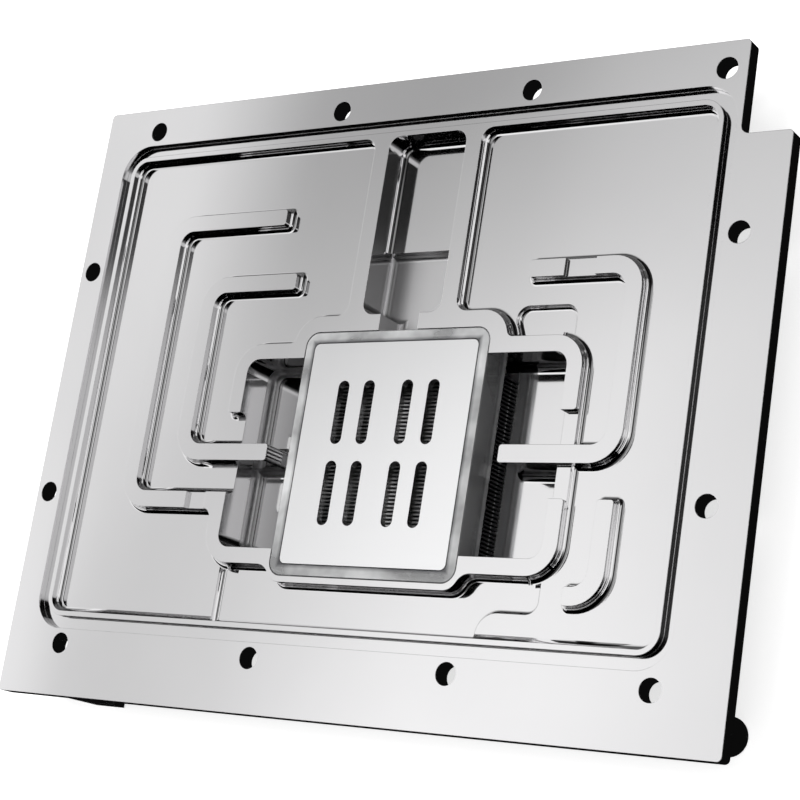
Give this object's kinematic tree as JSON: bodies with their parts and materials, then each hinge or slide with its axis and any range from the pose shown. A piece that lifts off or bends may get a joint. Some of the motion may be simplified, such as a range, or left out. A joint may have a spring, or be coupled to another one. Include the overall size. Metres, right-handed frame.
{
  "type": "liquid cooling cold plate",
  "caption": "Flat rectangular liquid cold plate without its cover: a seal groove round flow ribs and deep recesses, with a slitted jet plate over microfins.",
  "frame": {"origin": "centre of the plate's outline, on the plane that the back pads stand on", "axes": "+X along the long side, +Y towards the side with the inlet channel, +Z out of the channelled face"},
  "size_m": [0.1664, 0.13, 0.0125],
  "materials": {
    "plated_copper": "mirror nickel plating",
    "clear_plastic": "clear moulded",
    "polished_steel": "polished"
  },
  "bodies": {
    "root": {"base_plate": "plated_copper", "jet_frame": "clear_plastic", "jet_plate": "polished_steel"}
  },
  "joints": []
}
